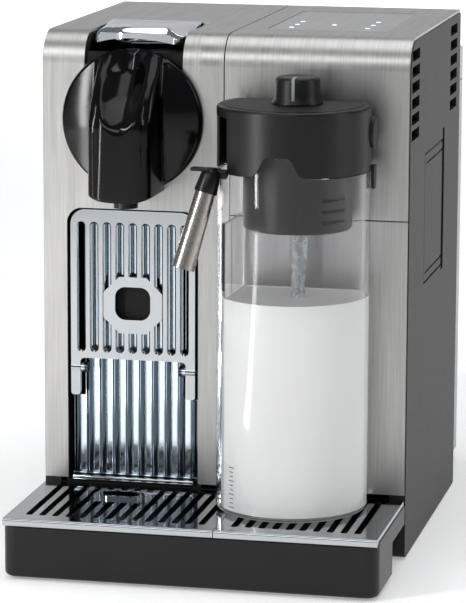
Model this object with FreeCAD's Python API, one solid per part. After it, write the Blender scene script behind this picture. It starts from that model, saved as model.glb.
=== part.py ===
import FreeCAD, Part
import math
import os
from FreeCAD import Vector

# Pod coffee machine with a milk jug, in millimetres.
# +Z is up, the user stands on the -Y side, and the origin is the centre of the footprint on the table.

# ---- overall sizes ----
WIDTH = 194.0
DEPTH = 332.0
TOP_Z = 272.0
HALF = WIDTH / 2
TRAY_FRONT_Y = -DEPTH / 2
TANK_BACK_Y = DEPTH / 2
FRONT_Y = -84.0
BACK_Y = 88.0

# ---- stock and clearances ----
SHEET = 1.5
WALL = 2.5
BEND_R = 16.0
GAP = 0.3
SEAM = 0.6
INSIDE_Y = FRONT_Y + SHEET
INSIDE_Z = TOP_Z - SHEET
SHELL_X = HALF - WALL
RUNNING = 0.05

# ---- front panel ----
PANEL_X = HALF - 0.5
PANEL_Z = 35.0
SEAM_Z = 179.0

# ---- coffee side ----
BAY_X0 = -84.0
BAY_X1 = -13.5
BAY_Z0 = 34.0
BAY_Z1 = 180.0
BAY_X = (BAY_X0 + BAY_X1) / 2
HEAD_X = -47.7
HEAD_Z = 227.0
HEAD_R = 36.5
SPOUT_W = 33.4
SPOUT_Y = -118.0
SPOUT_Z = 188.0
NOZZLE_Y = -102.0
NOZZLE_R = 6.25

# ---- lever ----
LEVER_X0 = -73.0
LEVER_X1 = -23.0
LEVER_TOP = 274.0
LEVER_FRONT = -88.0
HINGE_Y = -32.0
HINGE_Z = 262.0
BARREL_R = 11.8
PIN_R = 2.0

# ---- capsule bin and cup shelf ----
BIN_HALF = 27.3
BIN_FRONT = -75.5
BIN_BACK = 24.0
FLUTE_PITCH = 7.04
FLUTE_COUNT = 8
FLUTE_R = 2.5
SKIRT_Z = 78.8
SHELF_HALF = 33.5
SHELF_Y0 = -83.6
SHELF_T = 3.0
SHELF_TOP = 179.2
SHELF_LOW = 100.0
ARM_W = 5.0
ARM_LOW = 80.0
PIVOT_Y = -81.0
PIVOT_Z = 94.5
PIVOT_R = 1.2
SLOT_PITCH = 6.95
SHELF_SLOTS = 9
HOLE_W = 19.0
HOLE_H = 17.5
HOLE_Z = 130.0
RING_HALF_W = 15.8
RING_HALF_H = 15.0
RING_CUT = 8.4

# ---- drip tray ----
TRAY_TOP = 29.6
GRID_TOP = 32.3
BLOCK_BACK = -122.0
RIM_Z = 20.0
GRID_SPLIT = 13.0
GRID_SLOT = 3.6
GRID_PITCH = 6.94
GRID_Y0 = -156.0
GRID_Y1 = -87.5

# ---- milk jug and lid ----
JUG_X = 41.5
JUG_Y = -108.0
JUG_R = 39.0
JUG_BACK = -87.3
JUG_Z0 = 32.6
JUG_Z1 = 208.0
LID_Z0 = 208.4
LID_Z1 = 241.0
LID_R = 39.1
KNOB_X = 43.1
KNOB_Y = -107.0
SPOUT_TOP = Vector(5.0, -138.0, 207.0)
SPOUT_TIP = Vector(-6.9, -147.0, 161.5)
DRUM_R = 5.0
ARM_Y = -134.5
SPOUT_PIN_R = 2.5
BUTTON_Y = -101.0
BUTTON_Z = 227.0
BUTTON_R = 8.0

# ---- water tank ----
TANK_HALF = 90.0
TANK_Z0 = 8.0
TANK_Z1 = 226.5
TANK_LID_Z0 = 227.0
TANK_LID_Z1 = 250.0
VALVE_Y = 122.0
DOCK_R = 12.0
TANK_PIN_Y = 162.8
TANK_PIN_Z = 230.2

# ---- accessory door ----
DOOR_Y0 = -33.0
DOOR_Y1 = 27.0
DOOR_Z0 = 138.0
DOOR_Z1 = 207.0
DOOR_T = 2.2
DOOR_PIN_R = 0.8


# ---------------------------------------------------------------- helpers
def box(x0, x1, y0, y1, z0, z1):
    return Part.makeBox(x1 - x0, y1 - y0, z1 - z0, Vector(x0, y0, z0))


def rod(axis, u, v, start, end, radius):
    """Cylinder along one axis; u and v are its place on the other two axes, in X, Y, Z order."""
    bases = {"x": Vector(start, u, v), "y": Vector(u, start, v), "z": Vector(u, v, start)}
    ways = {"x": Vector(1, 0, 0), "y": Vector(0, 1, 0), "z": Vector(0, 0, 1)}
    return Part.makeCylinder(radius, end - start, bases[axis], ways[axis])


def tube(axis, u, v, start, end, outer, inner):
    return rod(axis, u, v, start, end, outer).cut(rod(axis, u, v, start, end, inner))


def fuse(shapes):
    whole = shapes[0]
    if len(shapes) > 1:
        whole = whole.fuse(shapes[1:])
    return whole.removeSplitter()


def rectangle(u0, u1, v0, v1):
    return [(u0, v0), (u1, v0), (u1, v1), (u0, v1)]


def corner(before, point, after, radius):
    """Tangent point, middle and tangent point of the arc that rounds one corner."""
    if radius <= 0:
        return point, None, point
    to_before = Vector(before[0] - point[0], before[1] - point[1], 0).normalize()
    to_after = Vector(after[0] - point[0], after[1] - point[1], 0).normalize()
    half = to_before.getAngle(to_after) / 2
    reach = radius / math.tan(half)
    inward = (to_before + to_after).normalize()
    depth = radius / math.sin(half) - radius
    here = Vector(point[0], point[1], 0)
    found = [here + to_before * reach, here + inward * depth, here + to_after * reach]
    return [(p.x, p.y) for p in found]


def outline(points, radius, lift):
    """Closed wire through points with rounded corners; lift turns (u, v) into a Vector."""
    count = len(points)
    radii = radius if isinstance(radius, list) else [radius] * count
    corners = []
    for index, point in enumerate(points):
        corners.append(corner(points[index - 1], point, points[(index + 1) % count], radii[index]))
    edges = []
    for index in range(count):
        start, middle, end = corners[index]
        following = corners[(index + 1) % count][0]
        if middle is not None:
            edges.append(Part.Arc(lift(*start), lift(*middle), lift(*end)).toShape())
        if math.dist(end, following) > 1e-6:
            edges.append(Part.LineSegment(lift(*end), lift(*following)).toShape())
    return Part.Wire(edges)


def prism(axis, points, start, end, radius=0.0):
    """Solid with a rounded outline: (Y, Z) for axis x, (X, Z) for axis y, (X, Y) for axis z."""
    lifts = {
        "x": lambda u, v: Vector(start, u, v),
        "y": lambda u, v: Vector(u, start, v),
        "z": lambda u, v: Vector(u, v, start),
    }
    ways = {"x": Vector(end - start, 0, 0), "y": Vector(0, end - start, 0), "z": Vector(0, 0, end - start)}
    return Part.Face(outline(points, radius, lifts[axis])).extrude(ways[axis])


def d_prism(centre_x, centre_y, radius, back_y, z0, z1):
    """Round prism with a flat back, standing on z0."""
    round_part = rod("z", centre_x, centre_y, z0, z1, radius)
    return round_part.cut(box(centre_x - 99, centre_x + 99, back_y, centre_y + 99, z0 - 1, z1 + 1))


def revolve(profile, axis_point, axis_way):
    """Full turn of a closed polygon of Vectors about an axis."""
    return Part.Face(Part.makePolygon(profile + [profile[0]])).revolve(axis_point, axis_way, 360)


def hose(points, radius, bend):
    """Round tube solid along straight runs joined by tangent arcs."""
    stops = [Vector(*point) for point in points]
    edges = []
    here = stops[0]
    for index in range(1, len(stops) - 1):
        back = (stops[index - 1] - stops[index]).normalize()
        ahead = (stops[index + 1] - stops[index]).normalize()
        half = back.getAngle(ahead) / 2
        reach = bend / math.tan(half)
        inward = (back + ahead).normalize()
        start = stops[index] + back * reach
        end = stops[index] + ahead * reach
        middle = stops[index] + inward * (bend / math.sin(half) - bend)
        edges.append(Part.LineSegment(here, start).toShape())
        edges.append(Part.Arc(start, middle, end).toShape())
        here = end
    edges.append(Part.LineSegment(here, stops[-1]).toShape())
    path = Part.Wire(edges)
    ring = Part.Wire([Part.makeCircle(radius, stops[0], stops[1] - stops[0])])
    return path.makePipeShell([ring], True, True)


def soften(shape, radius, chosen):
    """Round the edges that the test picks."""
    edges = [edge for edge in shape.Edges if chosen(edge)]
    return shape.makeFillet(radius, edges)


def upright(edge):
    first, last = edge.Vertexes[0].Point, edge.Vertexes[-1].Point
    return math.dist((first.x, first.y), (last.x, last.y)) < 1e-6 and abs(first.z - last.z) > 1e-6


# ---------------------------------------------------------------- casing
def make_base_plate():
    floor = box(-SHELL_X + GAP, SHELL_X - GAP, INSIDE_Y + WALL + 0.1, BACK_Y - WALL, 3.6, 6.5)
    tray_shelf = box(-88, 88, -120, INSIDE_Y + 4, 3.5, 19.6)
    tray_shelf = tray_shelf.cut(box(-85, 85, -117, INSIDE_Y + 1.5, 2.5, 17.2))
    foot_bosses = [rod("z", x, -108, 3.5, 17.2, 8.5) for x in (-76, 76)]
    tank_shelf = box(-84, 84, BACK_Y - WALL, 158, 3.5, 7.0)
    body = fuse([floor, tray_shelf, tank_shelf] + foot_bosses)
    body = body.cut(rod("z", 0, VALVE_Y, 3, 8, DOCK_R))
    for x in (-85, 85):
        for y in (-60, 70):
            body = body.cut(rod("z", x, y, 3, 7, 1.5))
    return body


def make_rubber_feet():
    places = [(x, y) for x in (-76, 76) for y in (-108, 146)]
    return Part.makeCompound([rod("z", x, y, 0, 3.5, 8) for x, y in places])


def make_front_sill():
    return box(-88.2, 88.2, INSIDE_Y + GAP, INSIDE_Y + WALL, 19.9, 32.3)


def side_outline(inset):
    """Outline of the casing's side in (Y, Z), inside the metal sheet by the inset."""
    front = INSIDE_Y + inset
    top = INSIDE_Z - inset
    back = BACK_Y - inset
    return [(front, 1 + inset), (front, top), (back, top), (back, 1 + inset)]


def make_side_shell(side):
    flange = 8.6
    outer = prism("x", side_outline(0), HALF - flange, HALF, [3, BEND_R - SHEET, 2, 2])
    inner = prism("x", side_outline(WALL), HALF - flange, SHELL_X, [1, BEND_R - SHEET - WALL, 0, 0])
    shell = outer.cut(inner)
    for index in range(6):
        z = 219.5 + index * 8.2
        for y in (-79.0, 52.0):
            louvre = [(y, z), (y + 24, z), (y + 24, z + 5.4), (y, z + 5.4)]
            shell = shell.cut(prism("x", louvre, SHELL_X - 1, HALF + 1, 0.8))
    if side > 0:
        door_hole = rectangle(DOOR_Y0 - GAP, DOOR_Y1 + 0.5, DOOR_Z0 - 0.5, DOOR_Z1 + 0.5)
        shell = shell.cut(prism("x", door_hole, SHELL_X - 1, HALF + 1, 0.5))
        grip = rectangle(DOOR_Y1 + 0.5, DOOR_Y1 + 7, DOOR_Z0 - 3, DOOR_Z1 + 6)
        shell = shell.cut(prism("x", grip, SHELL_X - 1, HALF + 1))
        for z0, z1 in door_pin_spans():
            shell = shell.cut(rod("z", HALF - 1.1, DOOR_Y0 + 1.1, z0, z1, DOOR_PIN_R))
        return shell
    shell = shell.mirror(Vector(0, 0, 0), Vector(1, 0, 0))
    return shell.cut(rod("x", 72, 20, -HALF - 1, -SHELL_X + 1, 7))


def make_rear_cover():
    cover = box(-88.2, 88.2, BACK_Y - WALL, BACK_Y, 7.1, INSIDE_Z - 0.1)
    for index in range(5):
        z = 235 + index * 6
        cover = cover.cut(prism("y", rectangle(-60, 60, z, z + 2.4), BACK_Y - 4, BACK_Y + 1, 1.1))
    for x in (-80, 80):
        for z in (20, 255):
            cover = cover.cut(rod("y", x, z, BACK_Y - 1.5, BACK_Y + 1, 3.0))
            cover = cover.cut(rod("y", x, z, BACK_Y - 4, BACK_Y, 1.5))
    return cover.cut(rod("y", 0, 16, BACK_Y - 4, BACK_Y + 1, 4.5))


def bent_sheet(x0, x1, z0):
    """Metal sheet that stands at the front, bends back over the top and ends at the rear."""
    points = [(FRONT_Y, z0), (FRONT_Y, TOP_Z), (BACK_Y, TOP_Z),
              (BACK_Y, INSIDE_Z), (INSIDE_Y, INSIDE_Z), (INSIDE_Y, z0)]
    return prism("x", points, x0, x1, [0, BEND_R, 0, 0, BEND_R - SHEET, 0])


def make_front_panel_left():
    sheet = bent_sheet(-PANEL_X, -SEAM / 2, PANEL_Z)
    bay = rectangle(BAY_X0, BAY_X1, BAY_Z0 - 9, BAY_Z1)
    sheet = sheet.cut(prism("y", bay, FRONT_Y - 1, INSIDE_Y + 1, [0, 0, 8, 8]))
    sheet = sheet.cut(rod("y", HEAD_X, HEAD_Z, FRONT_Y - 1, INSIDE_Y + 1, HEAD_R - 4))
    front_slot = box(LEVER_X0 - 1.2, LEVER_X1 + 1.2, FRONT_Y - 1, FRONT_Y + 20, HEAD_Z, TOP_Z + 1)
    top_slot = box(LEVER_X0 - 1.2, LEVER_X1 + 1.2, FRONT_Y - 1, HINGE_Y + BARREL_R + 0.6, 255, TOP_Z + 1)
    return sheet.cut(front_slot).cut(top_slot)


def make_front_panel_upper_right():
    sheet = bent_sheet(SEAM / 2, PANEL_X, SEAM_Z + SEAM / 2)
    sheet = sheet.cut(prism("z", rectangle(14, 77, -43, 57), 268, TOP_Z + 1, 1.0))
    return sheet.cut(rod("y", JUG_X, 225, FRONT_Y - 1, INSIDE_Y + 1, 9))


def make_front_panel_lower_right():
    return box(SEAM / 2, PANEL_X, FRONT_Y, INSIDE_Y, PANEL_Z, SEAM_Z - SEAM / 2)


LAMP_PLACES = [(24.5, -30.5), (24.5, -15.0), (24.5, 0.5), (44.3, -13.2), (64.6, -27.3), (64.6, -10.7), (64.6, 6.0)]


def make_touch_panel():
    panel = prism("z", rectangle(14.25, 76.75, -42.75, 56.75), INSIDE_Z - 0.5, TOP_Z - 0.2, 0.8)
    for x, y in LAMP_PLACES:
        panel = panel.cut(rod("z", x, y, INSIDE_Z - 1, TOP_Z + 1, 1.3))
    return panel


def make_indicator_lamps():
    return Part.makeCompound([rod("z", x, y, INSIDE_Z - 0.5, TOP_Z - 0.1, 1.3) for x, y in LAMP_PLACES])


def make_accessory_pocket():
    flange = box(91, SHELL_X - 0.1, DOOR_Y0 - 2, DOOR_Y1 + 11, DOOR_Z0 - 5, DOOR_Z1 + 9)
    bucket = box(72, 91, DOOR_Y0 + 3, DOOR_Y1 - 3, DOOR_Z0 + 3, DOOR_Z1 - 3)
    room = box(74, HALF, DOOR_Y0 + 5, DOOR_Y1 - 5, DOOR_Z0 + 5, DOOR_Z1 - 5)
    return fuse([flange, bucket]).cut(room)


def door_pin_spans():
    return [(DOOR_Z0 - 4, DOOR_Z0 + 4), (DOOR_Z1 - 4, DOOR_Z1 + 4)]


def make_door_pins():
    pins = [rod("z", HALF - 1.1, DOOR_Y0 + 1.1, z0, z1, DOOR_PIN_R) for z0, z1 in door_pin_spans()]
    return Part.makeCompound(pins)


def make_cord_inlet():
    bush = rod("x", 72, 20, -HALF + 0.2, -SHELL_X + 6, 7)
    return bush.cut(rod("x", 72, 20, -HALF - 1, -SHELL_X + 7, 3.4))


def make_case_screws():
    screws = []
    for x in (-85, 85):
        for y in (-60, 70):
            screws.append(rod("z", x, y, 1.9, 3.5, 3.0).fuse(rod("z", x, y, 3.5, 9, 1.5)))
    for x in (-80, 80):
        for z in (20, 255):
            head = rod("y", x, z, BACK_Y - 1.5, BACK_Y - 0.1, 3.0)
            screws.append(head.fuse(rod("y", x, z, BACK_Y - 9, BACK_Y - 1.5, 1.5)))
    return Part.makeCompound(screws)


# ---------------------------------------------------------------- coffee side
def make_head_shroud():
    x0, x1 = LEVER_X0 - 2.2, LEVER_X1 + 2.2
    wall = 2.0
    shroud = box(x0, x1, INSIDE_Y + 0.1, 18, 184, INSIDE_Z - 0.2)
    shroud = shroud.cut(box(x0 + wall, x1 - wall, INSIDE_Y + wall, 19, 184 + wall, INSIDE_Z + 1))
    bend_room = box(x0 - 1, x1 + 1, INSIDE_Y - 1, INSIDE_Y + BEND_R, 256, TOP_Z)
    bend_fill = prism("x", side_outline(0.2), x0, x1, [0, BEND_R - SHEET, 0, 0])
    shroud = shroud.cut(bend_room.cut(bend_fill))
    shroud = shroud.cut(box(x0 + wall, x1 - wall, INSIDE_Y - 1, INSIDE_Y + wall + 1, 262, TOP_Z))
    shroud = shroud.cut(rod("x", HINGE_Y, HINGE_Z, x0 - 1, x1 + 1, PIN_R))
    return shroud.cut(rod("x", -61, 225, x1 - wall - 1, x1 + 1, 3.2))


def make_coffee_dome():
    """Round head cover: a shallow cap on a rim, with the pouring spout standing out of it."""
    def cap(radius, rim_y, crown_y, back_y):
        rise = rim_y - crown_y
        ball = (radius * radius + rise * rise) / (2 * rise)
        sphere = Part.makeSphere(ball, Vector(HEAD_X, crown_y + ball, HEAD_Z))
        barrel = rod("y", HEAD_X, HEAD_Z, crown_y - 1, back_y, radius)
        return barrel.common(sphere.fuse(rod("y", HEAD_X, HEAD_Z, rim_y, back_y, radius)))

    def spout(inset):
        front = SPOUT_Y + inset
        points = [(FRONT_Y - 3, 256 - inset), (-101, 246 - inset), (front, 224 - inset),
                  (front, SPOUT_Z), (-90 - inset, SPOUT_Z), (FRONT_Y - 3, 200 + inset)]
        half = SPOUT_W / 2 - inset
        return prism("x", points, HEAD_X - half, HEAD_X + half, [0, 14, 16, 0, 3, 0])

    outer = cap(HEAD_R, FRONT_Y - 4, FRONT_Y - 11, FRONT_Y)
    nose = spout(0.0)
    nose = soften(nose, 6.0, lambda e: upright(e) and e.Vertexes[0].Point.y < SPOUT_Y + 1)
    inner = cap(HEAD_R - 2.5, FRONT_Y - 2, FRONT_Y - 8.5, FRONT_Y + 1)
    whole = outer.fuse(nose).cut(inner).cut(spout(WALL))
    return whole.removeSplitter()


def make_coffee_nozzle():
    barrel = rod("z", HEAD_X, NOZZLE_Y, 184, 214, NOZZLE_R)
    return barrel.cut(rod("z", HEAD_X, NOZZLE_Y, 183, 210, 2.6))


def make_bay_liner():
    wall = 1.5
    back = 28.0
    front = INSIDE_Y + 0.1
    outer = box(BAY_X0 - wall, BAY_X1 + wall, front, back + wall, BAY_Z0 - wall, BAY_Z1 + wall)
    room = rectangle(BAY_X0, BAY_X1, BAY_Z0, BAY_Z1)
    liner = outer.cut(prism("y", room, front - 1, back, [0, 0, 8, 8]))
    return liner.cut(box(-66, -29, -48, -22, BAY_Z1 - 1, BAY_Z1 + wall + 1))


def make_brew_frame():
    plates = [box(x, x + 3, -74, 14, 186, 246) for x in (-70.2, -28.2)]
    bridge = box(-70.2, -25.2, 14, 17, 200, 246)
    frame = fuse(plates + [bridge])
    return frame.cut(rod("x", -61, 225, -29, -24, 3.2))


def make_capsule_holder():
    body = rod("y", HEAD_X, 225, -74, -52, 19)
    body = body.cut(rod("y", HEAD_X, 225, -60, -51, 14.5))
    body = body.cut(rod("x", -61, 225, -40, -24, 3.0))
    return body.cut(rod("y", HEAD_X, 225, -75, -60, 2.5))


def make_lever_pin():
    return rod("x", HINGE_Y, HINGE_Z, LEVER_X0 - 2.2, LEVER_X1 + 2.2, PIN_R)


def make_lever_handle():
    """Handle plate with an arched front lip, two cheeks and a barrel that turns on its pin."""
    points = [(LEVER_FRONT, 266.4), (LEVER_FRONT, LEVER_TOP), (HINGE_Y, LEVER_TOP), (HINGE_Y, 271.0),
              (-80.0, 271.0), (-83.4, 266.4)]
    plate = prism("x", points, LEVER_X0, LEVER_X1, [1.0, 2.5, 0, 0, 2.0, 0.6])
    barrel = rod("x", HINGE_Y, HINGE_Z, LEVER_X0, LEVER_X1, BARREL_R)
    cheeks = []
    for x in (LEVER_X0, LEVER_X1 - 2.2):
        cheek = [(HINGE_Y - 42, 271.5), (HINGE_Y, 271.5), (HINGE_Y, 254), (HINGE_Y - 16, 258)]
        cheeks.append(prism("x", cheek, x, x + 2.2, [1, 0, 0, 4]))
    whole = fuse([plate, barrel] + cheeks)
    arch_r = 62.5
    whole = whole.cut(rod("y", (LEVER_X0 + LEVER_X1) / 2, 270.4 - arch_r, LEVER_FRONT - 1, -79.5, arch_r))
    whole = whole.cut(rod("x", HINGE_Y, HINGE_Z, LEVER_X0 - 1, LEVER_X1 + 1, PIN_R + RUNNING))
    return whole.cut(rod("x", HINGE_Y, HINGE_Z, LEVER_X0 + 6, LEVER_X1 - 6, 8.5))


def make_brew_piston():
    head = rod("y", HEAD_X, 225, -51.4, -34, 18)
    stem = rod("y", HEAD_X, 225, -34, -12, 9)
    return head.fuse(stem).removeSplitter()


# ---------------------------------------------------------------- capsule bin and cup shelf
def make_capsule_bin():
    bin_box = box(BAY_X - BIN_HALF, BAY_X + BIN_HALF, BIN_FRONT, BIN_BACK, 35, 150)
    wall = 1.8
    room = box(BAY_X - BIN_HALF + wall, BAY_X + BIN_HALF - wall, BIN_FRONT + wall, BIN_BACK - wall, 36.8, 151)
    return bin_box.cut(room)


def make_bin_front():
    """Chrome plate with upright flutes, a foot rail and two lugs that carry the cup shelf."""
    x0, x1 = BAY_X - BIN_HALF, BAY_X + BIN_HALF
    face_y = BIN_FRONT - 1.6
    pieces = [box(x0, x1, face_y, BIN_FRONT - 0.05, 35, 176)]
    for index in range(FLUTE_COUNT):
        x = BAY_X + (index - (FLUTE_COUNT - 1) / 2) * FLUTE_PITCH
        pieces.append(rod("z", x, face_y + 1.0, 37, 175, FLUTE_R))
    wide0, wide1 = BAY_X - SHELF_HALF, BAY_X + SHELF_HALF
    pieces.append(box(wide0, wide1, face_y, BIN_FRONT - 0.05, 35, SKIRT_Z))
    for x in (wide0 + 1.9, wide1 - 1.9):
        pieces.append(rod("z", x, face_y + 1.0, 37, SKIRT_Z - 0.5, 1.9))
    pieces.append(prism("x", rectangle(face_y - 2.4, face_y + 0.5, 35, 37.5), wide0, wide1, 0.8))
    whole = fuse(pieces)
    whole = whole.cut(box(x0 - 1, x1 + 1, BIN_FRONT - 0.05, BIN_FRONT + 5, 30, 180))
    pocket = box(BAY_X - 13, BAY_X + 13, face_y - 5, face_y, HOLE_Z - 13, HOLE_Z + 13)
    lugs = []
    for x in (x0 - 1.0, x1 - 2.6):
        lugs.append(rod("x", PIVOT_Y, PIVOT_Z, x, x + 3.6, 2.7))
        lugs.append(box(x, x + 3.6, PIVOT_Y, face_y + 0.5, PIVOT_Z - 2.7, PIVOT_Z + 2.7))
    whole = fuse([whole.cut(pocket)] + lugs)
    return whole.cut(rod("x", PIVOT_Y, PIVOT_Z, x0 - 5, x1 + 5, PIVOT_R))


def make_shelf_pins():
    spans = [(BAY_X - SHELF_HALF + 0.6, BAY_X - 25), (BAY_X + 25, BAY_X + SHELF_HALF - 0.6)]
    return Part.makeCompound([rod("x", PIVOT_Y, PIVOT_Z, x0, x1, PIVOT_R) for x0, x1 in spans])


def shelf_slot(x, z0, z1):
    """Slot through the shelf with sloping sides, wider at the face."""
    half, wide, slope = 1.6, 2.4, 0.9
    through = prism("y", rectangle(x - half, x + half, z0, z1), SHELF_Y0 - 1, SHELF_Y0 + 9, half - 0.05)
    flare = []
    for y, grow in ((SHELF_Y0 - 0.01, wide - half), (SHELF_Y0 + slope, 0.0)):
        points = rectangle(x - half - grow, x + half + grow, z0 - grow, z1 + grow)
        flare.append(outline(points, half + grow - 0.05, lambda u, v, y=y: Vector(u, y, v)))
    return through.fuse(Part.makeLoft(flare, True))


def make_cup_shelf():
    x0, x1 = BAY_X - SHELF_HALF, BAY_X + SHELF_HALF
    y1 = SHELF_Y0 + SHELF_T
    points = [(x0, ARM_LOW), (x0 + ARM_W, ARM_LOW), (x0 + ARM_W, SHELF_LOW), (x1 - ARM_W, SHELF_LOW),
              (x1 - ARM_W, ARM_LOW), (x1, ARM_LOW), (x1, SHELF_TOP), (x0, SHELF_TOP)]
    plate = prism("y", points, SHELF_Y0, y1, [1.5, 1.5, 2.5, 2.5, 1.5, 1.5, 8, 8])
    bosses = [rod("x", PIVOT_Y, PIVOT_Z, x, x + ARM_W, 2.9) for x in (x0, x1 - ARM_W)]
    plate = fuse([plate] + bosses)
    slots = []
    for index in range(SHELF_SLOTS):
        x = BAY_X + (index - (SHELF_SLOTS - 1) / 2) * SLOT_PITCH
        slots.append(shelf_slot(x, 104, 172))
    low, high, cut = -RING_HALF_H, RING_HALF_H, RING_CUT
    left, right = -RING_HALF_W, RING_HALF_W
    octagon = [(left + cut, low), (right - cut, low), (right, low + cut), (right, high - cut),
               (right - cut, high), (left + cut, high), (left, high - cut), (left, low + cut)]
    ring = prism("y", [(BAY_X + x, HOLE_Z - 1 + z) for x, z in octagon], SHELF_Y0 - 2, SHELF_Y0 + 9, 1.5)
    plate = plate.cut(Part.makeCompound([slot.cut(ring) for slot in slots]))
    hole = rectangle(BAY_X - HOLE_W / 2, BAY_X + HOLE_W / 2, HOLE_Z - HOLE_H / 2, HOLE_Z + HOLE_H / 2)
    plate = plate.cut(prism("y", hole, SHELF_Y0 - 1, SHELF_Y0 + 9, 5.5))
    return plate.cut(rod("x", PIVOT_Y, PIVOT_Z, x0 - 1, x1 + 1, PIVOT_R + RUNNING))


def make_finger_cup():
    y0 = SHELF_Y0 + SHELF_T
    half_w, half_h = HOLE_W / 2, HOLE_H / 2
    outer = rectangle(BAY_X - half_w - 1.2, BAY_X + half_w + 1.2, HOLE_Z - half_h - 1.2, HOLE_Z + half_h + 1.2)
    inner = rectangle(BAY_X - half_w, BAY_X + half_w, HOLE_Z - half_h, HOLE_Z + half_h)
    cup = prism("y", outer, y0, y0 + 2.9, 6.5)
    return cup.cut(prism("y", inner, y0 - 1, y0 + 1.9, 5.5))


# ---------------------------------------------------------------- drip tray
def make_drip_tray():
    front = TRAY_FRONT_Y + 0.2
    block = box(-HALF, HALF, front, BLOCK_BACK, 1.5, TRAY_TOP)
    block = soften(block, 7.0, lambda e: upright(e) and e.Vertexes[0].Point.y < BLOCK_BACK - 1)
    rear = box(-HALF, HALF, BLOCK_BACK - 0.5, FRONT_Y - 0.7, RIM_Z, TRAY_TOP)
    tray = fuse([block, rear])
    tray = soften(tray, 2.5, lambda e: max(v.Point.z for v in e.Vertexes) < 1.6)
    deep = rectangle(-HALF + WALL, HALF - WALL, front + WALL, BLOCK_BACK - WALL)
    tray = tray.cut(prism("z", deep, 4.0, TRAY_TOP + 1, 4.5))
    shallow = box(-HALF + WALL, HALF - WALL, BLOCK_BACK - WALL - 1, FRONT_Y - 3.2, RIM_Z + 2.4, TRAY_TOP + 1)
    tray = tray.cut(shallow)
    return tray.cut(box(-HALF - 1, HALF + 1, front - 1, front + 1.6, 27.9, TRAY_TOP + 1))


def grid_slot(x, y0, y1):
    half = GRID_SLOT / 2
    return prism("z", rectangle(x - half, x + half, y0, y1), TRAY_TOP - 2, GRID_TOP + 1, half - 0.05)


def grid_plate(x0, x1, z0):
    """Grid plate with a rounded lip that hangs over the tray's front wall."""
    plate = box(x0, x1, TRAY_FRONT_Y + 2.0, FRONT_Y - 1.2, z0, GRID_TOP)
    lip = prism("x", rectangle(TRAY_FRONT_Y, TRAY_FRONT_Y + 2.0, 28.2, GRID_TOP), x0, x1, [0.9, 0, 0, 1.4])
    lip = lip.cut(box(x0 - 1, x1 + 1, TRAY_FRONT_Y + 1.4, TRAY_FRONT_Y + 3, 27, z0))
    return fuse([plate, lip])


def make_drip_grid_left():
    grid = grid_plate(-PANEL_X, GRID_SPLIT - 0.2, TRAY_TOP)
    ring_x, ring_y = BAY_X + 0.3, -108.5
    keep_out = rectangle(ring_x - 15.5, ring_x + 15.5, ring_y - 12.5, ring_y + 12.5)
    plain = prism("z", keep_out, TRAY_TOP - 3, GRID_TOP + 2, 7.0)
    slots = [grid_slot(-85.5 + index * GRID_PITCH, GRID_Y0, GRID_Y1).cut(plain) for index in range(14)]
    grid = grid.cut(Part.makeCompound(slots))
    collar = prism("z", rectangle(ring_x - 12, ring_x + 12, ring_y - 7, ring_y + 7), TRAY_TOP, GRID_TOP + 1.5, 6.9)
    hole = prism("z", rectangle(ring_x - 9.8, ring_x + 9.8, ring_y - 4.8, ring_y + 4.8), TRAY_TOP - 1, GRID_TOP + 3, 4.7)
    return fuse([grid, collar]).cut(hole)


def make_drip_grid_right():
    grid = grid_plate(GRID_SPLIT + 0.2, PANEL_X, TRAY_TOP)
    slots = [grid_slot(84.7 - index * 7.0, GRID_Y0, GRID_Y1) for index in range(10)]
    return grid.cut(Part.makeCompound(slots))


# ---------------------------------------------------------------- milk jug and lid
def wave(grow):
    """The raised tab at the jug's front rim, as seen from the front; the lid is cut to match it."""
    points = [(20, 200), (20, 208), (29, 208), (34, 218.2), (47, 218.2), (52, 208), (62, 208), (62, 200)]
    grown = [(x, z + grow if z > 200 else z) for x, z in points]
    return prism("y", grown, JUG_Y - 45, JUG_Y, [0, 0, 6, 5, 5, 6, 0, 0])


def make_milk_jug():
    wall = 2.2
    tall = d_prism(JUG_X, JUG_Y, JUG_R, JUG_BACK, JUG_Z0, JUG_Z1 + 12)
    low = tall.common(box(-20, 100, -160, -80, JUG_Z0, JUG_Z1))
    tab = tall.common(wave(0.0))
    body = fuse([low, tab])
    body = soften(body, 3.0, lambda e: max(v.Point.z for v in e.Vertexes) < JUG_Z0 + 0.1)
    room = d_prism(JUG_X, JUG_Y, JUG_R - wall, JUG_BACK - wall, JUG_Z0 + 2.6, JUG_Z1 + 14)
    divider = box(10.0, 11.8, -160, -80, JUG_Z0, JUG_Z1 - 26)
    return body.cut(room.cut(divider)).removeSplitter()


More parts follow.
